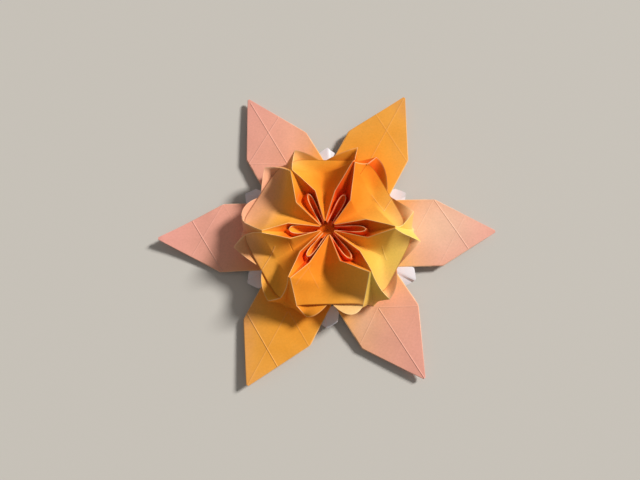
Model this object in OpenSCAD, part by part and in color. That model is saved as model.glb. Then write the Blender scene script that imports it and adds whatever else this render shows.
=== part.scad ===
// A flower folded from one hexagonal sheet of paper, lying with its blossom up.
// Frame: +Z up, the base on z = 0 and its centre at the origin, +X along one outer petal. Sizes in mm.

/* [Sheet] */
// thickness of the folded paper, two layers pressed together
sheet_t = 0.3; // [0.2:0.05:0.6]
// how much of the hand folding's unevenness is kept, 0 for an even flower
hand = 1; // [0:0.1:1]

/* [Outer petals] */
// distance of a petal's tip from the middle
tip_r = 60.5; // [54:0.5:68]
// width of a petal between its parallel sides
petal_w = 24.8; // [22:0.2:28]
// height of the petals over the table
petal_z = 3.2; // [2.8:0.1:5]
// height of the ridge along a petal's axis crease
ridge_h = 0.35; // [0:0.05:0.8]
// opening between a petal and the margins folded under it, at the axis
margin_gap = 0.9; // [0.6:0.05:1.4]

/* [Blossom] */
// distance of a pinched pleat end from the middle
pinch_r = 22.4; // [20.5:0.1:24]
// height of the pinched pleat ends, the highest points
pinch_z = 19.5; // [17:0.1:22]
// distance of a pleat's widest place from the middle
knee_r = 13.3; // [11.5:0.1:15]
// half of the angle that a pleat spans at its widest place
knee_a = 14; // [10:0.5:17]
// height of a pleat's edges at its widest place
knee_z = 16; // [14.5:0.1:17.5]
// distance of the closed end of the loop inside a pleat
loop_r = 13; // [11:0.1:14.5]
// width of the loop inside a pleat
loop_w = 2.5; // [1.8:0.1:3.2]
// how far the loop's rim lies below the pleat's edges
loop_dip = 1; // [0.5:0.1:2]
// depth of the loop at the hole
loop_depth = 4.5; // [3:0.1:6]
// depth of the valleys between a pleat's edges and its loop
pleat_depth = 3.2; // [2:0.1:4]
// radius of the hole in the middle
hole_r = 2.6; // [2:0.1:3.2]
// height of the hole's rim
hole_z = 13; // [11:0.1:14.5]
// distance of a panel's outer corners from the middle
corner_r = 28; // [26.5:0.1:29.5]
// half of the angle that a web spans at the panel corners
corner_a = 8; // [6:0.5:10]
// height of a panel's outer corners
corner_z = 13.5; // [12.5:0.1:15]
// height of a panel's middle from between the pinches to its outer fold
trough_z = 10.5; // [9.5:0.1:11.5]
// how much further out than its corners a panel's outer fold lies
fold_out = 1; // [0.4:0.1:1.6]
// how far a panel's outer fold laps over the wings
lap = 1.5; // [1:0.1:2]
// how far the tucked-in edge below the lap lies under the outer fold
lap_drop = 1.6; // [1.3:0.1:2.2]
// distance of a wing's tip from the middle
wing_r = 31.5; // [30:0.1:33.5]
// half of the angle between the tips of a sector's two wings
wing_a = 10; // [8.5:0.5:12]
// height of a wing's tip
wing_z = 10.5; // [9.5:0.1:12.5]
// how far a wing's outer edge bows outwards
wing_curl = 0.6; // [0.2:0.1:1.4]
// how far a wing's outer edge bows up
wing_lift = 1.2; // [0.6:0.1:1.8]
// how far the paper below a wing's edge is tucked back towards the middle
tuck = 3; // [2:0.1:4]
// height of the tucked edge above the petals
wing_gap = 0.8; // [0.6:0.05:1.5]
// how far the rims of a web sag below a straight line
rim_sag = 3; // [1:0.1:5]
// how far the rims of a web bow towards its crease
rim_bow = 0.5; // [0:0.1:1]
// how far the axis crease of a web sags below a straight line
web_sag = 2.4; // [1:0.1:4]
// distance of a web's foot on the petal
foot_r = 30.5; // [29.5:0.1:33]

/* [White fans] */
// distance of a fan's tip from the middle
fan_r = 33.5; // [31.5:0.1:36]

/* [Base] */
// radius of the flat base
base_r = 14; // [11:0.5:17]
// turn of the base against the petals
base_turn = 3; // [0:0.5:6]

/* [Hidden] */
// Unevenness of the six sectors, in mm for distances and degrees for turns.
tip_dr = [-0.5, 0.5, 1.5, 1, -1, -1] * hand;
tip_turn = [0, 0.5, -1.5, 0, 0.5, 1] * hand;
tip_dz = [-1.4, 0.4, -1, 0.2, 0, -0.9] * hand;
shoulder_dr = [[0.5, 0, -0.5, -1, 1.5, 0.5] * hand, [-0.5, -0.5, 1, 0, -1.5, -1.5] * hand];
pinch_dr = [-1, 0.5, 0, 0.5, 0.5, -1.5] * hand;
pinch_turn = [-6, 8, 4.5, 6.5, -7.5, 6.5] * hand;
knee_dr = [[0, -2, 0, 1, 0.5, -0.5] * hand, [-1, -1, 1, 1, 1.5, 0] * hand];
knee_turn = [[-6.5, 4.5, 5, 9.5, -5.5, -3] * hand, [-5.5, 7.5, 10, 3.5, -14, 2.5] * hand];
loop_dr = [-1, -1, 0.5, 1, 0, 0] * hand;
loop_turn = [-6.5, 4, 2.5, 3.5, -8.5, -0.5] * hand;
loop_dw = [0, 0.3, -0.3, 0.9, -0.2, -0.1] * hand;
corner_dr = [[-0.5, -1.5, -1, 1.5, 1.5, 0.5] * hand, [-3, -3.5, 0, 1.5, 1, 0] * hand];
corner_turn = [[-0.5, 6.5, 5, 3, -1, -1.5] * hand, [-5.5, 0, 2.5, -1, -2.5, -0.5] * hand];
corner_dz = [[0, 0.5, 0, -1, -2, -4] * hand, [0.5, 4.5, 0, -1.5, -3, -1] * hand];
trough_dz = [0, 1, 0, 0, -0.5, 0] * hand;
fold_dr = [1, 1, 0.5, 0, -1.5, 0] * hand;
wing_dr = [[0, 0, 0.5, -0.5, 1, -2.5] * hand, [-1.5, -0.5, 1, 2.5, -0.5, 0] * hand];
wing_turn = [[0.5, 6.5, 1.5, 1.5, -2, 0] * hand, [1, 0, 4, -1.5, 3.5, -2] * hand];
wing_dz = [[0, 0, 0, 0.5, -1.5, -2] * hand, [0, 2.5, 0, -2, -2.5, 0] * hand];
wing_dcurl = [[-0.5, 0, -0.5, 1, 0.5, 2.5] * hand, [-1, -0.5, -0.5, 0, 1, 0.5] * hand];
rim_dbow = [[-0.5, -0.5, 0, -0.5, 1, 0] * hand, [0.5, -0.5, 1, 1.5, -0.5, 0] * hand];
foot_dr = [0, -0.5, 1, 1.5, 0, -0.5] * hand;
foot_turn = [2, 8, 0.5, -2.5, -2, -1] * hand;
apex_turn = [-3.5, 20, 15, -4, 9, -1] * hand;
fan_dr = [-1.5, 0, 1, 0.5, 0, 1] * hand;
fan_turn = [-2, 0, 2, 0, -3, 0] * hand;
// middle of the hole, off the petals' middle
hole_x = -0.9 * hand;
// length of a petal's pointed end
point_len = petal_w * 0.85;
shoulder_r = tip_r - point_len;

function polar(r, a, z) = [r * cos(a), r * sin(a), z];
function mix(a, b, s) = a + (b - a) * s;
function wrap(k) = (k + 6) % 6;
// the curve through three points, the middle one halfway
function through(a, b, c, s) = a * (1 - s) * (1 - 2 * s) + b * 4 * s * (1 - s) + c * s * (2 * s - 1);
function unit(v) = v / max(norm(v), 0.0001);

// named points of sector k; side 0 is the right edge seen outwards from the middle, side 1 the left
function sgn(side) = side == 0 ? -1 : 1;
function pinch(k) = polar(pinch_r + pinch_dr[k], 60 * k + pinch_turn[k], pinch_z);
function pinch_side(k, side) =
    pinch(k) + pinch_half * sgn(side) * [-sin(60 * k + pinch_turn[k]), cos(60 * k + pinch_turn[k]), 0];
function knee(k, side) =
    polar(knee_r + knee_dr[side][k], 60 * k + sgn(side) * knee_a + knee_turn[side][k], knee_z);
function loop_end(k) = polar(loop_r + loop_dr[k], 60 * k + loop_turn[k], knee_z - loop_dip);
function corner(k, side) =
    polar(corner_r + corner_dr[side][k], 60 * k + sgn(side) * corner_a + corner_turn[side][k],
        corner_z + corner_dz[side][k]);
function wing_tip(k, side) =
    polar(wing_r + wing_dr[side][k], 60 * k + sgn(side) * wing_a + wing_turn[side][k],
        wing_z + wing_dz[side][k]);
// where the paper that turns back below a wing's edge ends
function under(p) =
    let (in = 1 - tuck / norm([p[0], p[1]])) [p[0] * in, p[1] * in, petal_z + wing_gap];
function foot(k) = polar(foot_r + foot_dr[k], 60 * k + foot_turn[k], petal_z);
// start of a pleat edge at the hole: the inner tip of the panel beside it
function start(k, side) =
    let (p = side == 1 ? k : wrap(k - 1))
    [hole_x, 0, 0] + polar(hole_r, 60 * p + 30 + apex_turn[p] - sgn(side) * 4, hole_z);

// rows of the blossom: 0 to 8 from the hole to the pinches, 5 at the pleats' widest place, to 11 at the
// panels' outer fold, 12 at the edge tucked in behind it, 14 at the wings' edges and 16 down at the petals
row_s = [0, 0.16, 0.32, 0.44, 0.52, 0.56, 0.7, 0.86, 1];
row_f = [0.4, 0.72, 1];
row_w = [0.03, 0.5, 1];
row_r = [0.5, 1];
knee_s = row_s[5];
// share of a web's rim at the panel's corner, and of its crease there and below the wings' edges
rim_corner = 0.6;
web_edge = 0.85;
// half of a pinched pleat end's width
pinch_half = 0.35;
// width of a loop at the hole, as a share of its full width
loop_start = 0.6;
// dip of the paper between a web's rim and its crease
web_dip = 0.8;
// powers of a panel's trough between the pinches and at the outer fold, and of the lap's fading to its ends
trough_power = [1.6, 8];
lap_power = 6;
// drop of a wing's end below the outer fold
end_drop = 0.6;
// columns across a panel, and the share of its outer fold at which a wing ends
panel_u = [0.05, 0.125, 0.25, 0.375, 0.5, 0.625, 0.75, 0.875, 0.95];
wing_end = 0.46;

function bent(a, b, c, s) = s <= knee_s ? mix(a, b, s / knee_s) : mix(b, c, (s - knee_s) / (1 - knee_s));
// sideways bow of a web's rim at the share g of its way
function bowed(k, side, g) =
    polar(4 * g * (1 - g) * (rim_bow + rim_dbow[side][k]), 60 * k - sgn(side) * 90, 0);
function ridge(k, side, i) =
    i <= 8 ? bent(start(k, side), knee(k, side), pinch_side(k, side), row_s[i])
    : i <= 11 ? let (f = row_f[i - 9])
        mix(pinch_side(k, side), corner(k, side), f) - [0, 0, rim_sag * f * (1 - f)]
            + bowed(k, side, rim_corner * f)
    : i <= 14 ? let (w = row_w[i - 12])
        mix(corner(k, side), wing_tip(k, side), w) + bowed(k, side, mix(rim_corner, 1, w))
    : mix(wing_tip(k, side), under(wing_tip(k, side)), row_r[i - 15]);

// middle of a pleat's loop on its way out, and half of its width there: a drop with the round end outwards
function loop_mid(k, s) =
    bent((start(k, 0) + start(k, 1)) / 2 - [0, 0, loop_dip], loop_end(k), pinch(k), s);
function loop_half(k, s) =
    let (q = min(1, s / knee_s), full = (loop_w + loop_dw[k]) / 2)
    max(0.1, full * mix(loop_start, 1, q) * sqrt(1 - pow(q, 6)));

// across a pleat: edge, valley, rim of the loop, floor of the loop, and back; column c of 0 to 10
function pleat_point(k, i, c) =
    let (s = row_s[i], open = i < 5, side = c <= 5 ? 0 : 1, q = c <= 5 ? c : 10 - c,
        edge = ridge(k, side, i), mid = loop_mid(k, s),
        across = unit(ridge(k, 1, i) - ridge(k, 0, i)) * sgn(side),
        rim = mid + across * loop_half(k, s),
        depth = 0.25 + pleat_depth * pow(sin(180 * s), 1.5),
        floor_z = open ? loop_depth * (1 - pow(s / knee_s, 2)) : 0,
        fall = i <= 5 ? 0 : depth)
    q == 0 ? edge
    : q == 1 ? mix(edge, rim, 0.25) - [0, 0, 0.6 * depth - 0.25 * fall]
    : q == 2 ? mix(edge, rim, 0.6) - [0, 0, depth - 0.4 * fall]
    : q == 3 ? rim - [0, 0, fall]
    : mix(rim, mid, q == 4 ? 0.5 : 1) - [0, 0, (q == 4 ? 0.6 : 1) * floor_z + fall];

// across a web: from rim to axis crease to rim
function web_point(k, i, c) =
    let (f = i <= 11 ? rim_corner * row_f[i - 9]
            : i <= 14 ? mix(rim_corner, web_edge, row_w[i - 12]) : mix(web_edge, 1, row_r[i - 15]),
        axis = mix(pinch(k), foot(k), f) - [0, 0, web_sag * f * (1 - f)],
        rim = ridge(k, c <= 5 ? 0 : 1, i),
        w = c <= 5 ? c / 5 : (10 - c) / 5)
    mix(rim, axis, w) - [0, 0, web_dip * f * w * (1 - w)];

// across a panel: a trough between the edges of two neighbouring pleats, nearly flat at the outer fold;
// u of 0 to 1
function panel_point(k, i, u) =
    let (a = ridge(k, 1, i), b = ridge(wrap(k + 1), 0, i), p = mix(a, b, u),
        low = mix(hole_z, trough_z + trough_dz[k], row_s[min(i, 8)]),
        out = i <= 8 ? 0 : pow(row_f[i - 9], 2),
        rise = pow(abs(2 * u - 1), mix(trough_power[0], trough_power[1], out)))
    [p[0], p[1], low + (p[2] - low) * rise]
        + polar((fold_out + fold_dr[k]) * out * (1 - rise), 60 * k + 30, 0);

// outer edge of a panel's two wings: from a wing's tip over a bowed middle to its end below the outer fold
function wing_edge(k, u) =
    let (left = u <= 0.5, n = left ? k : wrap(k + 1), side = left ? 1 : 0, tip = wing_tip(n, side),
        along = min(1, min(u, 1 - u) / wing_end),
        end_u = along == 1 ? u : left ? wing_end : 1 - wing_end,
        end = panel_point(k, 11, end_u) - [0, 0, end_drop],
        half = (tip + end) / 2,
        bow = unit([half[0], half[1], 0]) * (wing_curl + wing_dcurl[side][n]) + [0, 0, wing_lift])
    through(tip, half + bow, end, along);
// behind the outer fold the paper is tucked in, comes out below it as the wings, and turns down at their edge
function flare_point(k, i, u) =
    let (fold = panel_point(k, 11, u), edge = wing_edge(k, u), full = 1 - pow(abs(2 * u - 1), lap_power),
        back = mix(fold, edge, row_w[0]) - polar(lap * full, 60 * k + 30, lap_drop * full))
    i <= 14 ? mix(back, edge, (row_w[i - 12] - row_w[0]) / (1 - row_w[0]))
    : mix(edge, under(edge), row_r[i - 15]);

// A sheet through a grid of points, thickened to both sides. cell(i, j) says which cells are there.
module sheet(grid, t, closed = false, cell = function (i, j) true) {
    n = len(grid);
    m = len(grid[0]);
    next = function (j) closed ? (j + 1) % m : min(j + 1, m - 1);
    last = function (j) closed ? (j + m - 1) % m : max(j - 1, 0);
    cols = closed ? m : m - 1;
    has = function (i, j)
        i >= 0 && i < n - 1 && (closed || (j >= 0 && j < m - 1)) && cell(i, closed ? (j + m) % m : j);
    used = function (i, j) has(i, j) || has(i - 1, j) || has(i, j - 1) || has(i - 1, j - 1);
    dir = function (i, j)
        let (below = i > 0 && used(i - 1, j) ? i - 1 : i, above = i < n - 1 && used(i + 1, j) ? i + 1 : i,
            right = used(i, last(j)) ? last(j) : j, left = used(i, next(j)) ? next(j) : j)
        unit(cross(grid[above][j] - grid[below][j], grid[i][left] - grid[i][right]));
    points = concat(
        [for (i = [0:n - 1], j = [0:m - 1]) grid[i][j] + dir(i, j) * t / 2],
        [for (i = [0:n - 1], j = [0:m - 1]) grid[i][j] - dir(i, j) * t / 2]
    );
    v = function (i, j, side) side * n * m + i * m + (closed ? j % m : j);
    faces = [for (i = [0:n - 2], j = [0:cols - 1]) if (has(i, j)) each concat(
        [[v(i, j, 0), v(i, j + 1, 0), v(i + 1, j, 0)], [v(i + 1, j, 0), v(i, j + 1, 0), v(i + 1, j + 1, 0)]],
        [[v(i, j, 1), v(i + 1, j, 1), v(i, j + 1, 1)], [v(i + 1, j, 1), v(i + 1, j + 1, 1), v(i, j + 1, 1)]],
        has(i - 1, j) ? [] : [
            [v(i, j, 0), v(i, j, 1), v(i, j + 1, 1)],
            [v(i, j, 0), v(i, j + 1, 1), v(i, j + 1, 0)]
        ],
        has(i + 1, j) ? [] : [
            [v(i + 1, j, 1), v(i + 1, j, 0), v(i + 1, j + 1, 0)],
            [v(i + 1, j, 1), v(i + 1, j + 1, 0), v(i + 1, j + 1, 1)]
        ],
        has(i, j - 1) ? [] : [
            [v(i, j, 1), v(i, j, 0), v(i + 1, j, 0)],
            [v(i, j, 1), v(i + 1, j, 0), v(i + 1, j, 1)]
        ],
        has(i, j + 1) ? [] : [
            [v(i, j + 1, 0), v(i, j + 1, 1), v(i + 1, j + 1, 1)],
            [v(i, j + 1, 0), v(i + 1, j + 1, 1), v(i + 1, j + 1, 0)]
        ]
    )];
    polyhedron(points, faces, convexity = 12);
}

// the blossom: six pleats and six panels around the hole, the webs that run on from the pleats, and the wings
module crown() {
    grid = [for (i = [0:16]) [for (k = [0:5]) each concat(
        [for (c = [0:10]) i <= 8 ? pleat_point(k, i, c) : web_point(k, i, c)],
        [for (u = panel_u) i <= 11 ? panel_point(k, i, u) : flare_point(k, i, u)])]];
    sheet(grid, sheet_t, closed = true);
}

// half width of petal k at distance x on a side, cut back to the sector near the middle
function petal_half(k, side, x) =
    let (sh = shoulder_r + shoulder_dr[side][k], tip = tip_r + tip_dr[k])
    x <= sh ? min(petal_w / 2, x * tan(30) - 0.4) : mix(petal_w / 2, 0.35, (x - sh) / (tip - sh));
// height of petal k at distance x and y to the side: a low roof over the axis crease
function petal_height(k, x, y) =
    let (out = max(0, x - 25) / 35)
    petal_z + tip_dz[k] * out * out + (ridge_h * (1 - 2 * abs(y) / petal_w) - 0.15) * min(1, 2 * out);
// point of petal k, v from -1 at the right side to 1 at the left
function petal_point(k, x, v, dz) =
    let (side = v < 0 ? 0 : 1, y = v * petal_half(k, side, x), turn = 60 * k + tip_turn[k])
    [x * cos(turn) - y * sin(turn), x * sin(turn) + y * cos(turn), petal_height(k, x, y) + dz];
function petal_rows(k) =
    let (tip = tip_r + tip_dr[k], a = shoulder_r + shoulder_dr[0][k], b = shoulder_r + shoulder_dr[1][k],
        low = min(a, b) - 0.01, high = max(a, b) + 0.01)
    [petal_w * 0.75, petal_w * 0.866 + 0.7, min(fan_r + 2, low - 1), low, high, mix(high, tip, 0.5), tip];

// an outer petal with a point of 60 degrees, and its two margins folded under so that they meet at the axis
module petal(k) {
    across = [-0.02, -0.55, -1, -0.5, 0, 0.5, 1, 0.55, 0.02];
    under = [1, 0.7, 0.06, 0, 0, 0, 0.06, 0.7, 1];
    end = tip_r + tip_dr[k];
    sheet([for (x = petal_rows(k)) [for (c = [0:8])
        petal_point(k, x, across[c], -under[c] * margin_gap * (x == end ? 0.5 : 1))]],
        sheet_t, cell = function (i, j) (j > 1 && j < 6) || i > 1);
}

// a flat facet of paper between its corners
module facet(corners) {
    hull()
        for (p = corners)
            translate(p) cube(sheet_t, center = true);
}

// a small white fan between two petals: two facets that lap along a radial ridge
module fan(k) {
    a = 60 * k + 30 + fan_turn[k];
    for (side = [-1, 1]) {
        r = fan_r + fan_dr[k] + side * 0.1;
        inner = petal_w + 0.9 + side * 0.13;
        seam = a - side * 0.4;
        low = petal_z - 0.15 + side * 0.04;
        facet([polar(inner, seam, low), polar(r, seam, low - 0.1),
            polar(r - 1.2, a + side * 6.4, low - 0.6), polar(inner, a + side * 9, low)]);
    }
}

// the flat base, the six-sided wall that rises from it, and the ledge inside the wall that carries the petals
module base() {
    ledge_z = petal_z - 0.2;
    r = [base_r * 0.97, petal_w - 0.4, petal_w, petal_w - 0.5, petal_w / 2];
    z = [sheet_t / 2, ledge_z - 0.5, ledge_z - 0.2, ledge_z, ledge_z];
    rotate(base_turn) {
        rotate(30) cylinder(h = sheet_t, r = base_r, $fn = 6);
        sheet([for (i = [0:4]) [for (c = [0:11]) polar(r[i] * (c % 2 == 0 ? cos(30) : 1), c * 30, z[i])]],
            sheet_t, closed = true);
    }
}

module folded_crocus() {
    color("#F0A070") union() {
        crown();
        for (k = [0:5]) {
            petal(k);
            fan(k);
        }
        base();
    }
}

folded_crocus();
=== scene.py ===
# %% [markdown]
# # A flower folded from one sheet of paper
# The object is a flat-lying flower folded from a single hexagon of colour-graded paper. Six petals
# point outwards, and a raised blossom of six trough panels and six opened pleats stands on them.
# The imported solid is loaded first, as the fixed frame. It already has every fold, so the sheet that is
# shown is worked out from the same named sizes, only finer, and takes the solid's place.

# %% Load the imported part
import bpy
import numpy as np
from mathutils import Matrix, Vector


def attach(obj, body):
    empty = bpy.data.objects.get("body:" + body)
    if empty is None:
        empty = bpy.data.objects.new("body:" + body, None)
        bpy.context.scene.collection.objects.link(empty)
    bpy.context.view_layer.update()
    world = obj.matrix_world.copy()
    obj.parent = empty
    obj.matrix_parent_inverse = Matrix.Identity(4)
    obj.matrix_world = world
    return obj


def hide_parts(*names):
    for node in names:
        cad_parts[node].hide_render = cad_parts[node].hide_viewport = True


MM = 0.001
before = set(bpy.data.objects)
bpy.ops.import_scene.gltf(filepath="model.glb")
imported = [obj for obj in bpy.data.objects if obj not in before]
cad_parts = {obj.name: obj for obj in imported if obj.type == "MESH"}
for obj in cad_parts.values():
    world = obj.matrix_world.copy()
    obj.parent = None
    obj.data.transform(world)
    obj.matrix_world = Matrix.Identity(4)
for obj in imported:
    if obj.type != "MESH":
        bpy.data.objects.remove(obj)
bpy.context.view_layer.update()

# %% [markdown]
# ## Points of the folds
# A folded sheet is fixed by where its folds meet. One sector could be made and turned six times, but such
# an even flower looks stamped and not folded. So each of the six sectors has the same points, and the
# folder's hand moves each of them a little: every point is a common place plus a short list of six
# differences. Degrees turn anticlockwise seen from above, and lengths are in millimetres.

# %% Helpers for points
SECTOR = np.arange(6) * 60.0
BETWEEN = SECTOR + 30
SIDE = np.array([-1.0, 1.0])  # right and left edge in a sector
DOWN = np.array([0, 0, -1.0])


def polar(r, a, z):
    """Points at distance r, angle a in degrees and height z, from arrays of one common shape."""
    r, a, z = np.broadcast_arrays(r, np.radians(a), z)
    return np.stack([r * np.cos(a), r * np.sin(a), z], -1)


def both(right, left):
    """Two lists of six, right and left edge, as an array by sector and side."""
    return np.array([right, left], float).T


def mix(a, b, s):
    """The point a share s of the way from a to b."""
    return a + (b - a) * s


def unit(v):
    """Vectors of length one."""
    return v / np.maximum(np.linalg.norm(v, axis=-1, keepdims=True), 1e-9)


# %% Points where folds meet
# R is a distance from the middle, Z a height, and A half of the angle that the two edges span.
PETAL_Z = 3.2
PINCH_R, PINCH_Z, PINCH_HALF = 22.4, 19.5, 0.35
KNEE_R, KNEE_Z, KNEE_A = 13.3, 16, 14
LOOP_R, LOOP_Z = 13, 15
CORNER_R, CORNER_Z, CORNER_A = 28, 13.5, 8
WING_R, WING_Z, WING_A = 31.5, 10.5, 10
FOOT_R, TROUGH_Z = 30.5, 10.5
HOLE_AT = np.array([-0.9, 0, 0])
HOLE_R, HOLE_Z, HOLE_A = 2.6, 13, 4

# Pinched pleat ends and their two edges, pleats' widest places, loops' ends, panels' corners, wings' tips,
# webs' feet, and where the pleats' edges start at the hole.
each = SECTOR[:, None]
pinch_a = SECTOR + np.array([-6, 8, 4.5, 6.5, -7.5, 6.5])
pinch = polar(PINCH_R + np.array([-1, 0.5, 0, 0.5, 0.5, -1.5]), pinch_a, PINCH_Z)
pinch_side = pinch[:, None] + PINCH_HALF * SIDE[:, None] * polar(1, pinch_a + 90, 0)[:, None]
knee_turn = both([-6.5, 4.5, 5, 9.5, -5.5, -3], [-5.5, 7.5, 10, 3.5, -14, 2.5])
knee = polar(KNEE_R + both([0, -2, 0, 1, 0.5, -0.5], [-1, -1, 1, 1, 1.5, 0]),
             each + SIDE * KNEE_A + knee_turn, KNEE_Z)
loop_turn = np.array([-6.5, 4, 2.5, 3.5, -8.5, -0.5])
loop_end = polar(LOOP_R + np.array([-1, -1, 0.5, 1, 0, 0]), SECTOR + loop_turn, LOOP_Z)
corner_turn = both([-0.5, 6.5, 5, 3, -1, -1.5], [-5.5, 0, 2.5, -1, -2.5, -0.5])
corner = polar(CORNER_R + both([-0.5, -1.5, -1, 1.5, 1.5, 0.5], [-3, -3.5, 0, 1.5, 1, 0]),
               each + SIDE * CORNER_A + corner_turn,
               CORNER_Z + both([0, 0.5, 0, -1, -2, -4], [0.5, 4.5, 0, -1.5, -3, -1]))
wing_turn = both([0.5, 6.5, 1.5, 1.5, -2, 0], [1, 0, 4, -1.5, 3.5, -2])
wing_tip = polar(WING_R + both([0, 0, 0.5, -0.5, 1, -2.5], [-1.5, -0.5, 1, 2.5, -0.5, 0]),
                 each + SIDE * WING_A + wing_turn,
                 WING_Z + both([0, 0, 0, 0.5, -1.5, -2], [0, 2.5, 0, -2, -2.5, 0]))
foot_turn = np.array([2, 8, 0.5, -2.5, -2, -1])
foot = polar(FOOT_R + np.array([0, -0.5, 1, 1.5, 0, -0.5]), SECTOR + foot_turn, PETAL_Z)
apex = BETWEEN + np.array([-3.5, 20, 15, -4, 9, -1])
start_a = np.stack([np.roll(apex, 1), apex], 1) - HOLE_A * SIDE
start = HOLE_AT + polar(HOLE_R, start_a, HOLE_Z)
print("pleats:", len(pinch), "highest fold at", pinch[:, 2].max(), "mm")

# %% [markdown]
# ## One sheet from a grid of points
# Every part of the flower is a surface over a grid: rows run outwards and columns run across. Paper has
# two faces and an edge, so the grid is moved half the paper's thickness to both sides along its own
# normals and closed around its border. A Solidify modifier would do that too, but here the two faces
# and the cut edge get different colours, and that is easier when their points are made by hand.

# %% Thicken a grid to a sheet
PAPER = 0.24
EDGE_WORN = 0.55  # how pale the paper's cut edge is
PETAL_VALUES = 8  # a place on the petal, as three numbers, and how clearly five creases show there
pieces = []


def sheet(grid, dye, line, tint=(0.0, 0.0), white=0.0, closed=False, cells=None, petal=None):
    """Points = grid moved by half the paper's thickness along the mean normal of the cells around each
    point, once up and once down; the border's edges are joined by a narrow wall. The values of the points
    ride along, and fold lines only show on the upper face."""
    n, m = grid.shape[:2]
    size = n * m
    index = np.arange(size).reshape(n, m)
    if closed:
        index = np.concatenate([index, index[:, :1]], 1)
    quads = np.stack([index[:-1, :-1], index[:-1, 1:], index[1:, 1:], index[1:, :-1]], -1)
    quads = quads[cells] if cells is not None else quads.reshape(-1, 4)
    p = grid.reshape(-1, 3)
    face = np.cross(p[quads[:, 1]] - p[quads[:, 3]], p[quads[:, 2]] - p[quads[:, 0]])
    normal = np.zeros_like(p)
    for c in range(4):
        np.add.at(normal, quads[:, c], face)
    if unit(normal)[:, 2].mean() < 0:
        quads, normal = quads[:, ::-1], -normal
    half = unit(normal) * PAPER / 2

    # An edge that no other cell runs along backwards is on the border.
    a, b = quads.ravel(), np.roll(quads, -1, 1).ravel()
    border = ~np.isin(a * size + b, b * size + a)
    a, b = a[border], b[border]
    # The wall has points of its own, so that the cut edge keeps its own colour.
    ends = np.unique(a)
    wall_a, wall_b = np.searchsorted(ends, a), np.searchsorted(ends, b)
    wall = 2 * size + np.stack([wall_b, wall_a, len(ends) + wall_a, len(ends) + wall_b], -1)

    def carried(value):
        """One value for each point of the two faces and of the wall's two borders."""
        value = np.broadcast_to(value, (n, m)).ravel()
        return np.concatenate([value, value, value[ends], value[ends]])

    yellow, pale = np.moveaxis(np.broadcast_to(tint, (n, m, 2)), -1, 0)
    on_top = np.broadcast_to(line, (n, m)).ravel()
    petal = np.zeros((size, PETAL_VALUES)) if petal is None else petal.reshape(size, -1)
    pieces.append({
        "points": np.concatenate([p + half, p - half, (p + half)[ends], (p - half)[ends]]),
        "faces": np.concatenate([quads, size + quads[:, ::-1], wall]),
        "dye": carried(dye), "yellow": carried(yellow), "pale": carried(pale), "white": carried(white),
        "line": np.concatenate([on_top, 0 * on_top, np.full(2 * len(ends), EDGE_WORN)]),
        "petal": np.concatenate([petal, np.zeros((size + 2 * len(ends), PETAL_VALUES))]),
    })
    return len(quads) * 2 + len(wall)


# %% [markdown]
# ## The printed colour
# The paper is printed in rings that run from orange in the middle over yellow and peach to pink, and the
# rings are stretched along one diagonal, so that the two petals on it stay orange. A colour for each
# petal would be a guess six times over. Instead each point carries its place on the flat sheet, as a
# distance from the middle in stretched millimetres, and the paper's finish turns that into a colour.

# %% Where a point lies on the printed sheet
# How much the rings are stretched, the angle of their diagonal, and how far off it their middle lies.
STRETCH, DIAGONAL, OFF_MIDDLE = 3.0, 64.0, 2.0
# Soft clouds on the print: distance, angle, width and strength. In the first list a strength below 0 makes
# the print deeper and one above 0 makes it paler, in stretched millimetres. Its second cloud, on the upper
# right wing, is partly painted shade: it deepens the print there to the red-orange of the shaded hollow
# under that web's rim, which is only a shallow groove in the relief.
DYE_AND_SHADE_CLOUDS = [(23, 96, 9, -10), (35, 51, 6, -11), (22, 36, 8, 3), (23, 262, 9, 1)]
YELLOW_CLOUDS = [(29, 335, 10, 0.9)]
PALE_CLOUDS = [(53, 3, 11, 0.4), (45, 288, 6, 0.2)]


def clouded(flat_r, angle, clouds):
    """Sum of soft clouds: each is a bell over the flat distance from its own middle, divided by its width,
    times its strength."""
    total = 0
    for middle_r, middle_a, wide, strength in clouds:
        a = np.radians(angle - middle_a)
        away = np.hypot(flat_r * np.cos(a) - middle_r, flat_r * np.sin(a)) / wide
        total = total + strength * np.exp(-away ** 2 / 2)
    return total


def printed(flat_r, angle):
    """Stretched distance from the print's middle, which lies off the sheet's middle across the diagonal:
    the way along the diagonal is divided by the stretch, the way across it isn't. Clouds are added."""
    a = np.radians(angle - DIAGONAL)
    stretched = np.hypot(flat_r * np.cos(a) / STRETCH, flat_r * np.sin(a) + OFF_MIDDLE)
    return stretched + clouded(flat_r, angle, DYE_AND_SHADE_CLOUDS)


def tinted(flat_r, angle):
    """Amounts of the yellow clouds and of the pale ones, as two values for each point."""
    return np.stack([clouded(flat_r, angle, clouds) for clouds in (YELLOW_CLOUDS, PALE_CLOUDS)], -1)


def angle_of(p):
    """Angle of points around the middle, in degrees."""
    return np.degrees(np.arctan2(p[..., 1], p[..., 0]))


# %% [markdown]
# ## The blossom
# Six pleats and six panels stand in a ring around a small hole. It could be modelled facet by facet, but
# the pleats and panels share their edges, so one closed ring of columns is simpler and can't come apart.
# Rows run from the hole over the pleats' widest place to the pinched pleat ends and on to the straight
# outer fold of the panels. There the paper is tucked in, comes out below the fold as two wings that turn
# up, and turns back down to the petals at the wings' edges. Columns close together at each ridge, and
# rows close together at the folds, carry the thin pale line that a sharp crease leaves in printed paper.
# Along the outer fold the line is dark instead: painted shade for the gap beneath the fold.

# %% Rows of the blossom
KNEE_S = 0.56  # where a pleat is widest, as a share of the way from the hole to its pinch
TUCK_S = 0.03  # where the paper comes out of the tuck, as a share of the way from fold to wing edge
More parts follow.
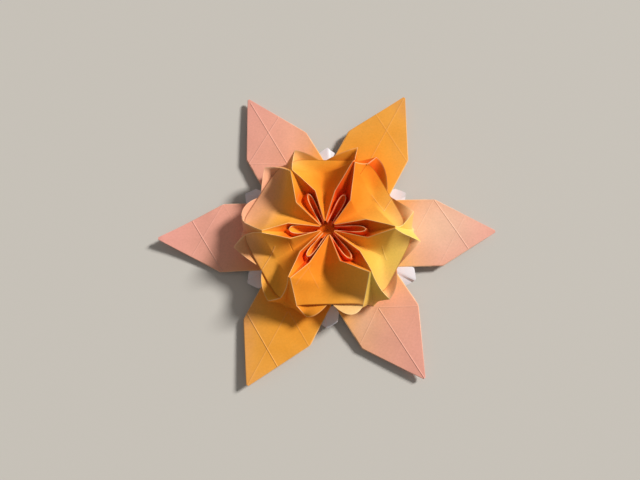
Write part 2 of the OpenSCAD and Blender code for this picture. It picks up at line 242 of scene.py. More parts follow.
# Shares of the way: to the pinch, on to the outer fold, into the tuck, out to the wing's edge, and back
# under it.
pleat_rows = np.concatenate([np.linspace(0, KNEE_S, 24), np.linspace(KNEE_S, 1, 20)[1:]])
fold_rows = np.concatenate([np.linspace(0, 0.96, 18)[1:], [1.0]])
tuck_rows = np.array([0.06, 0.5, 1.0])
wing_rows = np.linspace(0, 1, 13)[1:]
under_rows = np.concatenate([[0.03], np.linspace(0.15, 1, 7)])
flare_rows = np.concatenate([TUCK_S * tuck_rows, mix(TUCK_S, 1, wing_rows)])
PLEAT_END, FOLD_END = len(pleat_rows), len(pleat_rows) + len(fold_rows)
print("rows to the pinches:", PLEAT_END, "to the outer fold:", FOLD_END)


def steps(stops, *rows):
    """Straight from each stop to the next, one stretch for each list of rows."""
    return np.concatenate([mix(a, b, share) for a, b, share in zip(stops, stops[1:], rows)])


def bent(a, b, c):
    """For the pleats' rows: straight from a to b at the knee, then straight from b to c."""
    s = pleat_rows.reshape((-1,) + (1,) * a.ndim)
    return np.where(s <= KNEE_S, mix(a, b, s / KNEE_S), mix(b, c, (s - KNEE_S) / (1 - KNEE_S)))


# %% Ridges, the edges of the pleats
RIM_SAG = 3  # four times the sag in the middle of a web's rim
CORNER_S = 0.6  # where a panel's corner lies on the rim of a web, as a share of its length
UNDER_IN, UNDER_GAP = 3, 0.8  # the paper below a wing: how far in and how far over the petals it ends
rim_bow = both([0, 0, 0.5, 0, 1.5, 0.5], [1, 0, 1.5, 2, 0, 0.5])


def under(p):
    """Where the paper that turns back below a wing's edge ends: nearer to the middle and just over the
    petals."""
    inset = 1 - UNDER_IN / np.linalg.norm(p[..., :2], axis=-1)
    return np.stack([p[..., 0] * inset, p[..., 1] * inset, 0 * inset + PETAL_Z + UNDER_GAP], -1)


def ridges():
    """Edges of the pleats by row, sector and side: bent lines to the pinch, then a sagging rim to the
    panel's corner and the wing's tip, bowed towards the pleat's axis by a parabola, then down below the
    wing."""
    f, w, r = (rows.reshape(-1, 1, 1, 1) for rows in (fold_rows, flare_rows, under_rows))
    to_corner = mix(pinch_side, corner, f) + RIM_SAG * f * (1 - f) * DOWN
    rim = np.concatenate([to_corner, mix(corner, wing_tip, w)])
    g = steps([0, CORNER_S, 1], f, w)
    inwards = -SIDE[:, None] * polar(1, SECTOR + 90, 0)[:, None]
    rim = rim + 4 * g * (1 - g) * rim_bow[..., None] * inwards
    return np.concatenate([bent(start, knee, pinch_side), rim, mix(wing_tip, under(wing_tip), r)])


ridge = ridges()
print("rows in all:", len(ridge))

# %% Pleats
LOOP_W = np.array([2.5, 2.8, 2.2, 3.4, 2.3, 2.4])
# How far the loop's rim lies below the pleat's edges at the hole, its depth there, its least half width.
LOOP_DIP, LOOP_DEPTH, LOOP_LEAST = 1, 4.5, 0.1
PLEAT_DEPTH, PLEAT_LEAST = 3.2, 0.25  # what the valleys deepen by, and their depth at both ends
CLOSE_S = 0.08  # the stretch beyond the knee in which a pleat closes over its loop
# Columns from a pleat's edge to its middle. Whole numbers are the places that pleats() names in this order.
EDGE, WALL, VALLEY, LOOP_RIM, LOOP_WALL, LOOP_FLOOR = range(6)
half_columns = np.array([0, 0.2, 0.5, 1, 1.5, 1.85, 2, 2.15, 2.5, 2.85, 3, 3.12, 3.5, 4, 4.5, 5])


def lower(p, by):
    """Points moved down by a height."""
    return p + DOWN * by[..., None]


def pleats():
    """Across a pleat from edge to middle: edge, wall, valley, rim of the loop, wall and floor of the loop,
    with straight paper between. The loop's half width is a drop: growing outwards, closed by the root of
    1 - q^6. The valley's depth is a sine to the power 1.5, and beyond the knee the loop's rim falls into
    the valley by a smooth step."""
    s = pleat_rows.reshape(-1, 1, 1)
    q = np.minimum(1, s / KNEE_S)
    drop = (0.6 + 0.4 * q) * np.sqrt(1 - q ** 6)
    wide = np.maximum(LOOP_LEAST, LOOP_W[:, None] / 2 * drop)[..., None]
    middle = bent(start.mean(1) + LOOP_DIP * DOWN, loop_end, pinch)[:, :, None]
    edge = ridge[:PLEAT_END]
    across = unit(edge[:, :, 1] - edge[:, :, 0])[:, :, None] * SIDE[:, None]
    rim = middle + across * wide
    depth = PLEAT_LEAST + PLEAT_DEPTH * np.sin(np.pi * s) ** 1.5
    t = np.clip((s - KNEE_S) / CLOSE_S, 0, 1)
    fall = depth * t * t * (3 - 2 * t)
    floor = LOOP_DEPTH * (1 - q ** 2)
    places = {EDGE: edge,
              WALL: lower(mix(edge, rim, 0.25), 0.6 * depth - 0.25 * fall),
              VALLEY: lower(mix(edge, rim, 0.6), depth - 0.4 * fall),
              LOOP_RIM: lower(rim, fall),
              LOOP_WALL: lower(mix(rim, middle, 0.3), 0.8 * floor + fall),
              LOOP_FLOOR: lower(np.broadcast_to(middle, rim.shape), floor + fall)}
    knots = np.stack(list(places.values()), 3)
    low = np.minimum(half_columns.astype(int), LOOP_WALL)
    share = (half_columns - low)[:, None]
    return mix(knots[:, :, :, low], knots[:, :, :, low + 1], share)


# %% Webs that run on from the pleats
CREASE_SAG, WEB_SAG = 2.4, 0.8  # four times the sags in the middle
WING_S = 0.85  # where the wing's tip lies beside a web's crease, as a share of its length


def webs():
    """From rim to axis crease: the crease runs from the pinch down to the foot on the petal and sags, and
    the paper between crease and rim sags a little too. Both sags are parabolas."""
    f = steps([0, CORNER_S, WING_S, 1], fold_rows, flare_rows, under_rows).reshape(-1, 1, 1)
    crease = mix(pinch, foot, f) + CREASE_SAG * f * (1 - f) * DOWN
    w = (half_columns / LOOP_FLOOR)[:, None]
    rim = ridge[PLEAT_END:][:, :, :, None]
    hollow = WEB_SAG * f[:, :, None, None] * w * (1 - w)
    return mix(rim, crease[:, :, None, None], w) + hollow * DOWN


pleat_half = np.concatenate([pleats(), webs()])
pleat_part = np.concatenate([pleat_half[:, :, 0], pleat_half[:, :, 1, -2::-1]], 2)
n_pleat = pleat_part.shape[2]
print("columns of a pleat:", n_pleat)

# %% Panels
WING_END = 0.46  # where a wing ends below the outer fold, as a share of the panel's width
TROUGH_POWER, FOLD_POWER = 1.6, 8.0
fold_out = np.array([2, 2, 1.5, 1, -0.5, 1])
trough_z = TROUGH_Z + np.array([0, 1, 0, 0, -0.5, 0])
u_columns = np.concatenate([[0.009], np.linspace(0.04, 0.96, 27), [0.991]])
u_columns = np.sort(np.concatenate([u_columns, [WING_END, 1 - WING_END]]))
from_middle = np.abs(2 * u_columns - 1)


def panels():
    """Straight across from one pleat's edge to the next, hollowed to a trough: the height above the
    trough's line grows with a power of the distance from its middle, low at the pleats and high at the
    outer fold, where the trough is nearly flat and lies a little further out than its corners."""
    left, right = ridge[:FOLD_END, :, 1], np.roll(ridge[:FOLD_END, :, 0], -1, 1)
    p = mix(left[:, :, None], right[:, :, None], u_columns[:, None])
    down_to = np.concatenate([pleat_rows, np.ones(len(fold_rows))])
    low = mix(HOLE_Z, trough_z, down_to[:, None])[..., None]
    out = np.concatenate([np.zeros(PLEAT_END), fold_rows ** 2]).reshape(-1, 1, 1)
    rise = from_middle ** mix(TROUGH_POWER, FOLD_POWER, out)
    p[..., 2] = low + (p[..., 2] - low) * rise
    outwards = polar(1, BETWEEN, 0)[:, None] * fold_out[:, None, None]
    return p + outwards * (out * (1 - rise))[..., None]


panel_part = panels()
print("columns of a panel:", panel_part.shape[2])

# %% Wings beyond the outer fold
LAP, LAP_DROP, LAP_POWER = 1.5, 1.6, 6  # how far in and down the tuck lies, and how it fades
WING_LIFT, WING_DROP = 1.2, 0.6  # how far a wing's edge bows up, and its end lies below the fold
wing_bow = both([0.1, 1.6, 0.1, 1.6, 1.1, 3.1], [-0.4, 0.1, 0.1, 0.6, 1.6, 1.1])


def flares(fold):
    """Behind the outer fold the paper is tucked in, comes out below the fold and turns up as a wing. A
    wing's edge is the curve of second degree through its tip, a bowed middle and its end below the fold,
    near the fold's middle. From that edge the paper turns back down to the petals. The tuck fades to the
    ends with the sixth power of the way from the middle."""
    s = np.minimum(np.minimum(u_columns, 1 - u_columns) / WING_END, 1)[:, None]
    left = (u_columns <= 0.5)[:, None]
    tip = np.where(left, wing_tip[:, 1, None], np.roll(wing_tip[:, 0], -1, 0)[:, None])
    bow = np.where(left[:, 0], wing_bow[:, 1, None], np.roll(wing_bow[:, 0], -1)[:, None])
    below = fold + WING_DROP * DOWN
    left_end, right_end = (below[:, [np.argmin(np.abs(u_columns - u))]] for u in (WING_END, 1 - WING_END))
    end = np.where(s == 1, below, np.where(left, left_end, right_end))
    middle = (tip + end) / 2
    outwards = unit(middle * np.array([1, 1, 0]))
    middle = middle + outwards * bow[..., None] - WING_LIFT * DOWN
    edge = tip * (1 - s) * (1 - 2 * s) + middle * 4 * s * (1 - s) + end * s * (2 * s - 1)
    tuck = (1 - from_middle ** LAP_POWER)[:, None]
    back = mix(fold, edge, TUCK_S) - tuck * polar(LAP, BETWEEN, LAP_DROP)[:, None]
    t, w, r = (rows.reshape(-1, 1, 1, 1) for rows in (tuck_rows, wing_rows, under_rows))
    return np.concatenate([mix(fold, back, t), mix(back, edge, w), mix(edge, under(edge), r)])


panel_part = np.concatenate([panel_part, flares(panel_part[-1])])
blossom = np.concatenate([pleat_part, panel_part], 2)
n_rows, n_columns = blossom.shape[0], blossom.shape[2]
ring = blossom.reshape(n_rows, 6 * n_columns, 3)
print("blossom grid:", n_rows, "rows of", ring.shape[1])

# %% Lines along the blossom's folds
# How clearly a fold shows: above 0 it is worn and pale, below 0 it is painted shade for the gap under the
# fold.
RIDGE_LINE, LOOP_LINE, FOLD_SHADE_LINE, WING_LINE = 1.0, 1.5, -1.0, 0.6
rim_column = int(np.argmin(np.abs(half_columns - LOOP_RIM)))
loop_rims = [rim_column, n_pleat - 1 - rim_column]
line = np.zeros((n_rows, n_columns))
line[:, [0, n_pleat - 1]] = RIDGE_LINE
line[:PLEAT_END, loop_rims] = np.where(pleat_rows <= KNEE_S, LOOP_LINE, 0)[:, None]
# Along the panels' outer fold the line is painted shade: dark for the shadow in the gap under the fold.
line[FOLD_END - 1, n_pleat:] = FOLD_SHADE_LINE
line[-len(under_rows) - 1, n_pleat:] = WING_LINE
line[-len(under_rows):] = 0
print("points on fold lines:", np.count_nonzero(line), "in each sector")

# %% Print of the blossom
# Distances on the flat sheet: hole, pinch, outer fold, wing's edge and the end below it.
FLAT_AT = [3, 23, 32, 38, 46]
LEAST_DYE = 8  # keeps the blossom's upper faces from turning red
flat_r = steps(FLAT_AT, pleat_rows, fold_rows, flare_rows, under_rows)[:, None]
dye = np.maximum(0, printed(flat_r, angle_of(ring)))
dye[:FOLD_END] = np.hypot(dye[:FOLD_END], LEAST_DYE)

# The yellow stays off the wings and the pleats' insides, but two webs and one wing have their own.
WING_YELLOW, WEB_YELLOW, OWN_YELLOW, OWN_PALE = 0.25, 0.6, 0.4, 0.25
tint = tinted(flat_r, angle_of(ring)).reshape(n_rows, 6, n_columns, 2)
tint[FOLD_END:, :, n_pleat:, 0] *= WING_YELLOW
tint[:PLEAT_END, :, 1:n_pleat - 1, 0] = 0
tint[PLEAT_END:, [0, 5], :n_pleat, 0] += WEB_YELLOW
tint[FOLD_END:, 4, n_pleat + len(u_columns) // 2:] += (OWN_YELLOW, OWN_PALE)
tint = np.minimum(1, tint).reshape(n_rows, -1, 2)

# Inside the pleats the colour is redder, most where the loops end: partly the print, and partly painted
# shade and glow, the deep red of light bounced inside the folds, strongest in the pleats that lie in shade.
WALL_RED_AND_SHADE, LOOP_RED_AND_SHADE = np.array([7, 7, 4, 2, 2, 5]), np.array([9, 9, 9, 3, 1, 6])
END_RED_AND_SHADE, END_S, END_WIDE = 12, 0.6, 0.13
inner = np.zeros((n_rows, 6, n_columns))
at_end = np.exp(-((pleat_rows - END_S) / END_WIDE) ** 2)[:, None]
inner[:PLEAT_END, :, 1:n_pleat - 1] = mix(WALL_RED_AND_SHADE, END_RED_AND_SHADE, at_end)[..., None]
inner[:PLEAT_END, :, loop_rims[0] + 1:loop_rims[1]] = LOOP_RED_AND_SHADE[:, None]
dye = dye - inner.reshape(n_rows, -1)
print("blossom cells:", sheet(ring, dye, np.tile(line, 6), tint, closed=True))

# %% The sheet's own middle, down in the hole
DISC_R, DISC_Z, DISC_DYE = 3.6, 9.8, 4.0
disc = HOLE_AT + polar(np.linspace(0.2, DISC_R, 8)[:, None], np.arange(0, 360, 10.0), DISC_Z)
print("middle's cells:", sheet(disc, DISC_DYE, 0.0, closed=True))

# %% [markdown]
# ## The outer petals
# Each petal is a strip with parallel sides and a pointed end, with its two margins folded under until they
# meet below the axis. A flat outline with a thickness would miss that doubled edge. Here the columns run
# from one margin's edge around the fold, across the petal and around to the other margin.

# %% Sizes of the petals
TIP_R, TIP_HALF, PETAL_W = 60.5, 0.3, 24.8
POINT_LONG = 0.85  # length of a petal's point from its shoulders, in widths of the petal
PETAL_IN, MARGIN_IN = 18.6, 35.5  # where the petal begins below the blossom, and where its margins begin
MARGIN_ROW = 21  # the row at which the margins begin
# The opening below a petal's face at its axis, and its shares at the folded edges and at the tip.
MARGIN_GAP, FOLD_GAP, TIP_GAP = 0.9, 0.16, 0.5
SECTOR_GAP = 0.4  # how far a petal stays off its sector's edge below the blossom
RIDGE_H, EDGE_DIP = 0.35, 0.15  # the axis ridge over the edges, and how far the edges dip
LIFT_FROM, LIFT_OVER = 25, 35  # where a petal begins to lift, and the way over which it does
EDGE_LINE = 0.9  # how clearly the folded edges show as pale lines
tip_r = TIP_R + np.array([-0.5, 0.5, 1.5, 1, -1, -1])
tip_turn = np.array([0, 0.5, -1.5, 0, 0.5, 1])
tip_dz = np.array([-1.4, 0.4, -1, 0.2, 0, -0.9])
roll = np.array([0, 0.06, 0, -0.08, 0.05, 0.06])
sag = np.array([0, 0, 0, 0.8, 0, 0])
shoulder_dr = both([0.5, 0, -0.5, -1, 1.5, 0.5], [-0.5, -0.5, 1, 0, -1.5, -1.5])
shoulder = TIP_R - POINT_LONG * PETAL_W + shoulder_dr
# How clearly each petal shows its creases: along the axis, across from the left and right shoulder, and
# from the left and right shoulder back to the middle.
CREASED = np.array([[0, 1, 0.35, 0.5, 0], [0.6, 0, 0.5, 0, 0], [1, 0.8, 0, 0.5, 0],
                    [0, 1, 0.5, 0, 0.2], [0.5, 0, 1, 0.5, 0], [1, 0.15, 0, 0.5, 0.5]])

# Columns as shares of the half width, and how far each lies below the petal's face.
top_v = np.concatenate([[-1, -0.975], np.linspace(-0.93, 0.93, 31), [0.975, 1]])
under_v = np.array([0.02, 0.3, 0.55, 0.8, 0.94])
under_below = np.array([1, 0.9, 0.7, 0.4, 0.25])
at_fold = np.abs(top_v) == 1
across_v = np.concatenate([-under_v, top_v, under_v[::-1]])
below_v = np.concatenate([under_below, FOLD_GAP * at_fold, under_below[::-1]])
edge_line = np.concatenate([0 * under_v, EDGE_LINE * at_fold, 0 * under_v])
print("columns of a petal:", len(across_v))

# %% Petals
FLAT_ON = 14  # how much longer the way to a petal's point is on the flat sheet


def petal_grid(k):
    """Half width = parallel up to the shoulder, then a straight taper to the tip; height = a low ridge along
    the axis, plus the tip's own lift with the square of the way out, a roll to one side, and a sag two
    thirds of the way out that is a cubic of that way. Gives the points, and each one's place on the petal
    with the clearness of the creases."""
    inner, outer = np.linspace(PETAL_IN, MARGIN_IN, MARGIN_ROW + 1), np.linspace(MARGIN_IN, tip_r[k], 34)
    x = np.concatenate([inner, outer[1:]])[:, None]
    from_r = shoulder[k][(across_v > 0).astype(int)]
    taper = mix(PETAL_W / 2, TIP_HALF, (x - from_r) / (tip_r[k] - from_r))
    strip = np.minimum(PETAL_W / 2, x * np.tan(np.pi / 6) - SECTOR_GAP)
    y = across_v * np.where(x <= from_r, strip, taper)
    out = np.maximum(0, x - LIFT_FROM) / LIFT_OVER
    grown = np.minimum(1, 2 * out)
    z = PETAL_Z + tip_dz[k] * out ** 2 + (RIDGE_H * (1 - np.abs(y) / PETAL_W * 2) - EDGE_DIP) * grown
    # The cubic is 1 at its highest.
    z = z + roll[k] * y * grown - sag[k] * 27 / 4 * out ** 2 * np.maximum(0, 1 - out)
    z = z - MARGIN_GAP * below_v * np.where(x == tip_r[k], TIP_GAP, 1)
    on_petal = np.stack([x + 0 * y, y, 0 * y], -1)
    on_petal = np.concatenate([on_petal, np.tile(CREASED[k], y.shape + (1,))], -1)
    a = np.radians(SECTOR[k] + tip_turn[k])
    return np.stack([x * np.cos(a) - y * np.sin(a), x * np.sin(a) + y * np.cos(a), z], -1), on_petal


margin = len(under_v)
for k in range(6):
    grid, on_petal = petal_grid(k)
    cells = np.ones((grid.shape[0] - 1, grid.shape[1] - 1), bool)
    cells[:MARGIN_ROW, :margin] = cells[:MARGIN_ROW, -margin:] = False
    flat_r, angle = on_petal[..., 0] + FLAT_ON, angle_of(grid)
    dye, tint = printed(flat_r, angle), tinted(flat_r, angle)
    made = sheet(grid, dye, edge_line, tint, cells=cells, petal=on_petal)
print("petal cells:", made, "on each of six petals")

# %% [markdown]
# ## The white fans and the underside
# Between the petals a small fan of the paper's white back shows, with one step where the paper lies
# double. Flat triangles would do from above, but the step catches the light. Below, the sheet closes to a
# flat six-sided base on which the flower rests. It is inferred, so it is kept plain.

# %% Fans
FAN_R, FAN_POINT = 33.5, 2.2  # a fan's tip from the middle, and how much less far its sides reach
FAN_IN, FAN_IN_A, FAN_OUT_A = 0.9, 9, 6.4  # where it begins off the base, its half angle there and outside
FAN_BELOW, FAN_SLOPE, FAN_FALL = 0.25, 0.6, 0.1  # below the petals, lower at its sides and at its tip
STEP_H, STEP_FROM, STEP_WIDE = 0.55, -0.3125, 0.1875  # the step's height, and its place across the fan
fan_r = FAN_R + np.array([-1.5, 0, 1, 0.5, 0, 1])
fan_a = BETWEEN + np.array([-2, 0, 2, 0, -3, 0])


def fan_grid(k):
    """Rows run out from below the petals and columns across, as v from -1 to 1: the reach and the height
    fall off with the size of v, and a ramp across a narrow band of v makes the step."""
    v = np.linspace(-1, 1, 33)
    t = np.linspace(0, 1, 9)[:, None]
    step = STEP_H * np.clip((v - STEP_FROM) / STEP_WIDE, 0, 1)
    r = mix(PETAL_W + FAN_IN, fan_r[k] - FAN_POINT * np.abs(v), t)
    a = fan_a[k] + v * mix(FAN_IN_A, FAN_OUT_A, t)
    return polar(r, a, PETAL_Z - FAN_BELOW + (step - FAN_SLOPE * np.abs(v) - FAN_FALL) * t)


for k in range(6):
    made = sheet(fan_grid(k), 0.0, 0.0, white=1.0)
print("fan cells:", made, "in each of six fans")

# %% Base
BASE_TURN = 3
# Radius and height, from the middle of the base over its rim up to the petals and back below the blossom.
BASE = np.array([(0.4, PAPER / 2), (13.6, PAPER / 2), (PETAL_W - 0.4, PETAL_Z - 0.7),
                 (PETAL_W, PETAL_Z - 0.4), (PETAL_W - 0.5, PETAL_Z - 0.2), (PETAL_W / 2, PETAL_Z - 0.2)])
turn = np.arange(12) * 30.0 + BASE_TURN
hexagon = np.where(np.arange(12) % 2 == 0, np.cos(np.pi / 6), 1.0)
base = polar(BASE[:, :1] * hexagon, turn, BASE[:, 1:])
print("base cells:", sheet(base, 0.0, 0.0, white=1.0, closed=True))

# %% [markdown]
# ## One mesh
# The flower is one sheet, so all grids go into one mesh object. They could stay apart and be joined by
# hand, but then their values would have to be joined too. The values that ride on the points are kept as
# attributes, which the paper's finish reads. Edges where the paper is folded sharply stay sharp, and the
# rest is shaded smoothly.

# %% Build the mesh
SHARP_FROM = 22  # degrees between two cells
starts = np.cumsum([0] + [len(piece["points"]) for piece in pieces])
points = np.concatenate([piece["points"] for piece in pieces]) * MM
faces = np.concatenate([piece["faces"] + first for piece, first in zip(pieces, starts)])
used = np.unique(faces)
renumber = np.zeros(len(points), int)
renumber[used] = np.arange(len(used))
mesh = bpy.data.meshes.new("folded_paper_flower")
mesh.from_pydata(points[used], [], renumber[faces])
VALUES = ("dye", "line", "yellow", "pale", "white")
for name in VALUES:
    values = np.concatenate([piece[name] for piece in pieces])[used].astype(np.float32)
    mesh.attributes.new(name, "FLOAT", "POINT").data.foreach_set("value", values)
on_petals = np.concatenate([piece["petal"] for piece in pieces])[used].astype(np.float32)
mesh.attributes.new("petal", "FLOAT_VECTOR", "POINT").data.foreach_set("vector", on_petals[:, :3].ravel())
CREASE_NAMES = [f"crease_{i}" for i in range(CREASED.shape[1])]
for name, values in zip(CREASE_NAMES, on_petals[:, 3:].T):
    mesh.attributes.new(name, "FLOAT", "POINT").data.foreach_set("value", values.copy())
mesh.validate()
mesh.shade_smooth()
mesh.set_sharp_from_angle(angle=np.radians(SHARP_FROM))
flower = bpy.data.objects.new("folded_paper_flower", mesh)
bpy.context.scene.collection.objects.link(flower)
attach(flower, "root")
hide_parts("folded_crocus")
print("points:", len(mesh.vertices), "triangles:", sum(len(p.vertices) - 2 for p in mesh.polygons))

# %% [markdown]
# ## The paper's finish
# Folding paper is thin, uncoated and printed on one face. It is matte, its print is a little cloudy, and
# where it has been creased the print breaks and the white core shows as a thin pale line. A picture of
# paper would only suit one sheet, so the print is a ramp over the stretched distance, the cloudiness is
# noise, and the creases on petals and panels are drawn as straight lines from their end points.

# %% Helpers for materials
MIX = {"data_type": "RGBA"}


def linear(hex_colour):
    """sRGB hex to linear: each channel c/12.92 near black, else ((c + 0.055) / 1.055) to the power 2.4."""
    c = np.array([int(hex_colour[i:i + 2], 16) for i in (1, 3, 5)]) / 255
    return tuple(np.where(c <= 0.04045, c / 12.92, ((c + 0.055) / 1.055) ** 2.4)) + (1.0,)


def add(tree, kind, settings=None, **inputs):
    """Adds a node, sets its properties, and for each input links a socket or sets a value. In names of
    inputs _ stands for a blank, and _ with a number is the input at that place."""
    node = tree.nodes.new(kind)
    for key, value in (settings or {}).items():
        setattr(node, key, value)
    for key, value in inputs.items():
        socket = node.inputs[int(key[1:])] if key[1:].isdigit() else node.inputs[key.replace("_", " ")]
        if isinstance(value, bpy.types.NodeSocket):
            tree.links.new(value, socket)
        else:
            socket.default_value = value
    return node


# %% Printed folding paper: the values that it reads
paper = bpy.data.materials.new("printed_folding_paper")
paper.use_nodes = True
tree = paper.node_tree
tree.nodes.clear()
place = add(tree, "ShaderNodeTexCoord").outputs["Object"]
at = {name: add(tree, "ShaderNodeAttribute", {"attribute_name": name}).outputs["Fac"]
      for name in (*VALUES, *CREASE_NAMES)}
petal_at = add(tree, "ShaderNodeAttribute", {"attribute_name": "petal"}).outputs["Vector"]
print("values on the paper:", len(at) + 1)

# %% Printed folding paper: print, grain and worn folds
# Clouds of 6 mm shift the print a little. Real fibres are too fine to show here, so their grain is drawn at
# about 0.7 mm, in the print's depth.
CLOUD, CLOUD_SHIFT, GRAIN = 6 * MM, 5.0, 0.7 * MM
# Colours of the print by stretched distance in mm, from the middle outwards.
RAMP_END = 80.0
STOPS = [(0, "#F04A0A"), (7, "#EE7012"), (13, "#F08A20"), (17, "#F39A2E"), (21, "#F5A337"), (25, "#F5A845"),
         (30, "#EEA660"), (36, "#F0AB7E"), (45, "#F2AC8E"), (56, "#F2AA93"), (76, "#EFA596")]
# The last colour is painted shade: the dark line along the panels' outer fold, where the gap under the fold
# lies in shadow.
YELLOW, PALE, WHITE, WORN, FOLD_SHADE = "#E9C255", "#FCE2BE", "#E6E5E8", "#FFDCA8", "#7A3412"
clouds = add(tree, "ShaderNodeTexNoise", Vector=place, Scale=1 / CLOUD, Detail=3.0).outputs["Fac"]
fibres = add(tree, "ShaderNodeTexNoise", Vector=place, Scale=1 / GRAIN, Detail=4.0).outputs["Fac"]
shifted = add(tree, "ShaderNodeMath", {"operation": "MULTIPLY_ADD"}, _0=clouds, _1=CLOUD_SHIFT, _2=at["dye"])
spread = add(tree, "ShaderNodeMapRange", {"clamp": True}, Value=shifted.outputs[0],
             From_Min=0.0, From_Max=RAMP_END)
rings = add(tree, "ShaderNodeValToRGB", Fac=spread.outputs[0])
ramp = rings.color_ramp
for i, (mm, hex_colour) in enumerate(STOPS):
    stop = ramp.elements[i] if i < 2 else ramp.elements.new(mm / RAMP_END)
    stop.position = mm / RAMP_END
    stop.color = linear(hex_colour)

# Layer by layer: the clouds' tints, the grain, the white back, pale worn folds, and painted shade as a dark
# line in the outer folds' gaps.
colour = rings.outputs["Color"]
for amount, hex_colour in ((at["yellow"], YELLOW), (at["pale"], PALE)):
    colour = add(tree, "ShaderNodeMix", MIX, _0=amount, _6=colour, _7=linear(hex_colour)).outputs[2]
grain = add(tree, "ShaderNodeMapRange", Value=fibres, From_Min=0.3, From_Max=0.7, To_Min=0.95, To_Max=1.04)
colour = add(tree, "ShaderNodeMix", {**MIX, "blend_type": "MULTIPLY"}, _0=1.0, _6=colour,
             _7=grain.outputs[0]).outputs[2]
worn = add(tree, "ShaderNodeMath", {"operation": "MULTIPLY"}, _0=at["line"], _1=0.55).outputs[0]
# Painted shade: where the line is below 0, the colour turns to the dark colour of the outer fold's gap.
fold_shade = add(tree, "ShaderNodeMath", {"operation": "MULTIPLY"}, _0=at["line"], _1=-0.6).outputs[0]
for amount, hex_colour in ((at["white"], WHITE), (worn, WORN), (fold_shade, FOLD_SHADE)):
    colour = add(tree, "ShaderNodeMix", MIX, _0=amount, _6=colour, _7=linear(hex_colour)).outputs[2]
print("stops of the print:", len(ramp.elements))

# %% Printed folding paper: creases left by the folding
# Each is a low ridge about half a millimetre wide, and the print is worn along its crest. On each petal
# there are its axis and lines at 60 degrees to it, in petal millimetres. On the panels there are a few
# short ones, in millimetres from the flower's middle, with their clearness, which is below 0 for a valley.
CREASE_HALF, CREASE_WEAR, WORN_CREASE = 0.28, 0.12, "#FFE6D2"
ON_PETALS = [((31.5, 0), (60, 0)), ((38.5, 12.4), (49.5, -6.2)), ((38.5, -12.4), (49.5, 6.2)),
             ((38.5, 12.4), (31.3, 0.5)), ((38.5, -12.4), (31.3, -0.5))]
ON_PANELS = [((-19, -6.5), (-23.5, -13.5), 1.0), ((-14.5, -4.5), (-13, -7.5), -1.0),
             ((-12, -20), (-7, -13.5), 0.4), ((-8.5, -13), (-4.5, -20.5), 0.3), ((15, 12), (19, 6), 0.6),
             ((19, 6), (23, 12), 0.8), ((-10.5, 11.5), (-12, 6), 0.4), ((17.5, -7), (19, -11.5), 0.5),
             ((13.3, 22.0), (11, 18), -2.0)]


def crest_of(at_mm, begin, end, clear):
    """Height of one crease: its clearness, fading with the distance of a place from the straight line
    between two ends. The place's share of the way along is held between 0 and 1, and heights over the
    table don't count."""
    begin, end = Vector((*begin, 0.0)), Vector((*end, 0.0))
    along = end - begin
    out = add(tree, "ShaderNodeVectorMath", {"operation": "SUBTRACT"}, _0=at_mm, _1=begin).outputs[0]
    share = add(tree, "ShaderNodeVectorMath", {"operation": "DOT_PRODUCT"}, _0=out,
                _1=along / along.length_squared).outputs["Value"]
    held = add(tree, "ShaderNodeMath", {"operation": "ADD", "use_clamp": True}, _0=share, _1=0.0).outputs[0]
    off = add(tree, "ShaderNodeVectorMath", {"operation": "MULTIPLY_ADD"}, _0=held, _1=-along, _2=out)
    flat = add(tree, "ShaderNodeVectorMath", {"operation": "MULTIPLY"}, _0=off.outputs[0],
               _1=(1.0, 1.0, 0.0))
    far = add(tree, "ShaderNodeVectorMath", {"operation": "LENGTH"}, _0=flat.outputs[0]).outputs["Value"]
    return add(tree, "ShaderNodeMapRange", Value=far, From_Min=0.0, From_Max=CREASE_HALF,
               To_Min=clear, To_Max=0.0).outputs[0]


in_mm = add(tree, "ShaderNodeVectorMath", {"operation": "SCALE"}, _0=place, Scale=1 / MM).outputs[0]
crests = [crest_of(petal_at, *ends, at[name]) for ends, name in zip(ON_PETALS, CREASE_NAMES)]
crests += [crest_of(in_mm, *crease) for crease in ON_PANELS]
crest = crests[0]
for other in crests[1:]:
    crest = add(tree, "ShaderNodeMath", {"operation": "ADD"}, _0=crest, _1=other).outputs[0]
worn = add(tree, "ShaderNodeMath", {"operation": "MULTIPLY"}, _0=crest, _1=CREASE_WEAR).outputs[0]
colour = add(tree, "ShaderNodeMix", MIX, _0=worn, _6=colour, _7=linear(WORN_CREASE)).outputs[2]
print("creases:", len(crests))

# %% Printed folding paper: relief and surface
# Handled paper isn't quite flat: soft waves of 9 mm lift it by about a tenth of a millimetre. The creases
# and the grain lie on them. Uncoated paper scatters light evenly and has hardly any gloss.
WAVE, WAVE_H, CREASE_H, GRAIN_H = 9 * MM, 0.5 * MM, 0.12 * MM, 0.06 * MM
waves = add(tree, "ShaderNodeTexNoise", Vector=place, Scale=1 / WAVE, Detail=0.0).outputs["Fac"]
bump = add(tree, "ShaderNodeBump", Height=waves, Strength=1.0, Distance=WAVE_H)
for height, strength, distance in ((crest, 1.0, CREASE_H), (fibres, 0.12, GRAIN_H)):
    bump = add(tree, "ShaderNodeBump", Height=height, Strength=strength, Distance=distance,
               Normal=bump.outputs["Normal"])
surface = add(tree, "ShaderNodeBsdfPrincipled", Base_Color=colour, Roughness=0.85, Specular_IOR_Level=0.12,
              Normal=bump.outputs["Normal"])
add(tree, "ShaderNodeOutputMaterial", Surface=surface.outputs["BSDF"])
mesh.materials.append(paper)
print("paper nodes:", len(tree.nodes))

# %% [markdown]
# ## Floor, light and camera
# A pale floor carries the flower. Area lamps close by would light the petals unevenly, so one far lamp from
# the upper right throws the soft shadows that make the folds read, and an even world fills them. The camera
# looks down at 76 degrees from 20 cm away.

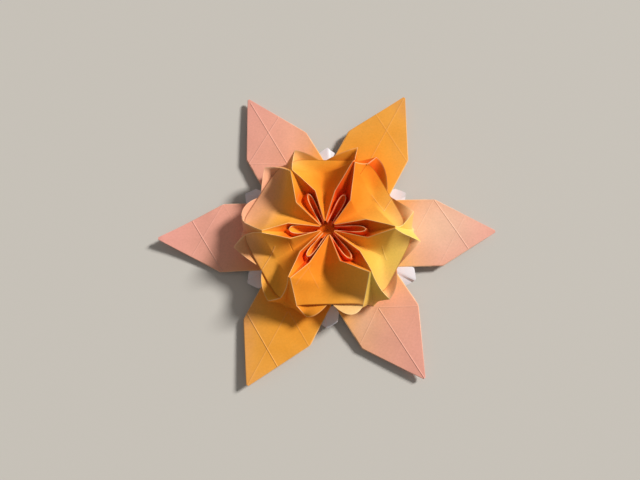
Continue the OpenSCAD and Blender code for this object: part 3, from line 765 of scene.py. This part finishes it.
# %% Floor
FLOOR_HALF = 4.0
floor_mesh = bpy.data.meshes.new("floor")
floor_corners = [(x * FLOOR_HALF, y * FLOOR_HALF, 0.0) for x, y in ((-1, -1), (1, -1), (1, 1), (-1, 1))]
floor_mesh.from_pydata(floor_corners, [], [(0, 1, 2, 3)])
floor = bpy.data.objects.new("floor", floor_mesh)
bpy.context.scene.collection.objects.link(floor)
card = bpy.data.materials.new("pale_floor")
card.use_nodes = True
card_surface = card.node_tree.nodes["Principled BSDF"].inputs
card_surface["Base Color"].default_value = linear("#CFC9BF")
card_surface["Roughness"].default_value = 0.9
floor_mesh.materials.append(card)
print("floor side in m:", 2 * FLOOR_HALF)

# %% Light
SUN_TURN, SUN_HEIGHT, SUN_SPREAD = 26, 35, 12  # degrees
SUN_POWER = 3.75
ROOM_POWER = 0.22
lamp = bpy.data.lights.new("window", "SUN")
lamp.energy = SUN_POWER
lamp.angle = np.radians(SUN_SPREAD)
sun = bpy.data.objects.new("window", lamp)
bpy.context.scene.collection.objects.link(sun)
height = np.radians(SUN_HEIGHT)
sun.rotation_mode = "QUATERNION"
sun.rotation_quaternion = Vector(polar(np.cos(height), SUN_TURN, np.sin(height))).to_track_quat("Z", "Y")
room = bpy.data.worlds.new("room")
bpy.context.scene.world = room
room.use_nodes = True
background = room.node_tree.nodes["Background"].inputs
background["Color"].default_value = (1.0, 1.0, 1.0, 1.0)
background["Strength"].default_value = ROOM_POWER
print("lamp at", SUN_HEIGHT, "degrees over the floor")

# %% Camera
FOCAL_PX, FRAME_PX = 560, 640
EYE, TARGET = Vector((-4.8, -50.5, 198.3)) * MM, Vector((-3.56, -2.12, 4.0)) * MM
camera_data = bpy.data.cameras.new("camera")
camera_data.lens = FOCAL_PX / FRAME_PX * camera_data.sensor_width
camera_data.clip_start = 5 * MM
camera = bpy.data.objects.new("camera", camera_data)
bpy.context.scene.collection.objects.link(camera)
camera.location = EYE
camera.rotation_mode = "QUATERNION"
camera.rotation_quaternion = (EYE - TARGET).to_track_quat("Z", "Y")
bpy.context.scene.camera = camera
bpy.context.scene.view_settings.view_transform = "Standard"
print("camera's distance in mm:", round((EYE - TARGET).length / MM))
